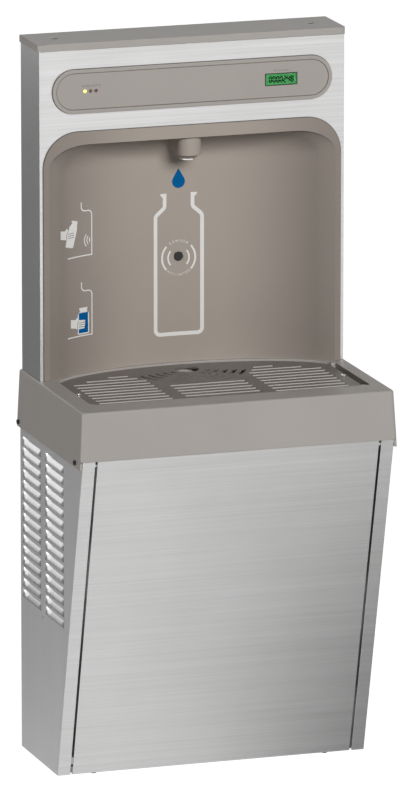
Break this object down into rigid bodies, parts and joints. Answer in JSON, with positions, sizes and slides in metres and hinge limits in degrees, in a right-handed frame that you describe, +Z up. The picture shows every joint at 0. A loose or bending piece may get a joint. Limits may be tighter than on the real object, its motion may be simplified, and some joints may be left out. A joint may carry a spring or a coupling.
{
  "type": "bottle filling station",
  "caption": "Wall-hung chilled bottle filling station: sloping cabinet with louvres, basin with a slotted grille, tall tower with a curved alcove, spout, sensor and display.",
  "frame": {"origin": "middle of the four hanger bolts, on the building wall's plane", "axes": "+X to the right as seen from the front, +Y into the wall, +Z up; the user stands on the -Y side"},
  "size_m": [0.4754, 0.3026, 1.0434],
  "materials": {
    "taupe_plastic": "semi-gloss taupe grey",
    "liner_plastic": "satin warm grey",
    "stainless_sheet": "brushed along X, satin",
    "zinc_sheet": "zinc-plated",
    "dark_screw": "black oxide",
    "bright_metal": "polished",
    "tank_steel": "satin",
    "grille_plastic": "fine texture, dark grey",
    "display_glass": "clear",
    "display": "backlit green",
    "lens_yellow": "lit yellow",
    "lens_amber": "unlit amber",
    "lens_red": "unlit red",
    "circuit_board": "solder mask green",
    "black_gloss": "infrared window",
    "black_plastic": "moulded",
    "white_plastic": "moulded",
    "blue_plastic": "moulded",
    "clear_tube": "milky tube",
    "foam": "cut foam",
    "black_rubber": "moulded",
    "black_paint": "semi-gloss black",
    "fin_metal": "pressed fins",
    "copper": "drawn copper",
    "brass": "cast brass"
  },
  "bodies": {
    "station": {"top_cap": "taupe_plastic", "cap_screws": "dark_screw", "tower_shell": "stainless_sheet", "tower_wall_plate": "zinc_sheet", "control_panel": "liner_plastic", "lcd_window": "display_glass", "lcd_module": "display", "led_yellow": "lens_yellow", "led_amber": "lens_amber", "led_red": "lens_red", "control_board": "circuit_board", "alcove_liner": "liner_plastic", "spout_housing": "liner_plastic", "spout_ring": "bright_metal", "flow_straightener": "white_plastic", "spout_elbow": "white_plastic", "sensor_window": "black_gloss", "sensor_module": "black_plastic", "basin": "taupe_plastic", "waste_fitting": "bright_metal", "waste_trap": "white_plastic", "waste_nuts": "white_plastic", "basin_screws": "dark_screw", "basin_front_rail": "zinc_sheet", "left_side_panel": "stainless_sheet", "right_side_panel": "stainless_sheet", "left_front_post": "stainless_sheet", "right_front_post": "stainless_sheet", "base_pan": "zinc_sheet", "hanger_bracket": "zinc_sheet", "rear_cross_rail": "zinc_sheet", "compressor": "black_paint", "compressor_feet": "black_rubber", "condenser_coil": "fin_metal", "fan_shroud": "zinc_sheet", "fan_motor": "black_paint", "filter_drier": "copper", "refrigerant_lines": "copper", "evaporator_coil": "copper", "cooling_tank": "tank_steel", "tank_insulation": "foam", "tank_stand": "zinc_sheet", "thermostat_body": "white_plastic", "stop_valve": "brass", "water_tubes": "clear_tube", "filter_head": "blue_plastic", "solenoid_valve": "brass", "plunger_spring": "tank_steel", "electrical_box": "zinc_sheet", "cord_gland": "black_plastic", "wire_harness": "black_rubber"},
    "front_cover": {"front_panel": "stainless_sheet", "front_panel_screws": "dark_screw"},
    "grille_plate": {"drain_grille": "grille_plastic", "grille_screws": "bright_metal"},
    "fan": {"fan_blade": "black_plastic"},
    "cartridge": {"filter_cartridge": "white_plastic"},
    "valve_lever": {"stop_valve_handle": "blue_plastic"},
    "thermostat_dial": {"thermostat_knob": "black_plastic"},
    "plunger": {"solenoid_plunger": "tank_steel"}
  },
  "joints": [
    {"name": "front_cover_swing", "type": "hinge", "parent": "station", "child": "front_cover", "pos_m": [0, -0.28813, 0.04805], "axis": [-1, 0, 0], "range_deg": [0, 20]},
    {"name": "grille_lift", "type": "slide", "parent": "station", "child": "grille_plate", "axis": [0, 0, 1], "range_m": [0, 0.06]},
    {"name": "fan_spin", "type": "hinge", "parent": "station", "child": "fan", "pos_m": [-0.1895, -0.107, -0.085], "axis": [1, 0, 0], "continuous": true},
    {"name": "cartridge_turn", "type": "hinge", "parent": "station", "child": "cartridge", "pos_m": [0.14, -0.184, -0.047], "axis": [0, 0, 1], "range_deg": [0, 90]},
    {"name": "stop_valve_turn", "type": "hinge", "parent": "station", "child": "valve_lever", "pos_m": [0.062, -0.05, -0.31], "axis": [0, -1, 0], "range_deg": [0, 90]},
    {"name": "thermostat_turn", "type": "hinge", "parent": "station", "child": "thermostat_dial", "pos_m": [0.07871, -0.127, -0.255], "axis": [0, -1, 0], "range_deg": [0, 270]},
    {"name": "plunger_slide", "type": "slide", "parent": "station", "child": "plunger", "axis": [0, 0, 1], "range_m": [0, 0.003], "stiffness_N_per_m": 200, "springref_m": -0.003, "deforming": ["plunger_spring"]}
  ]
}
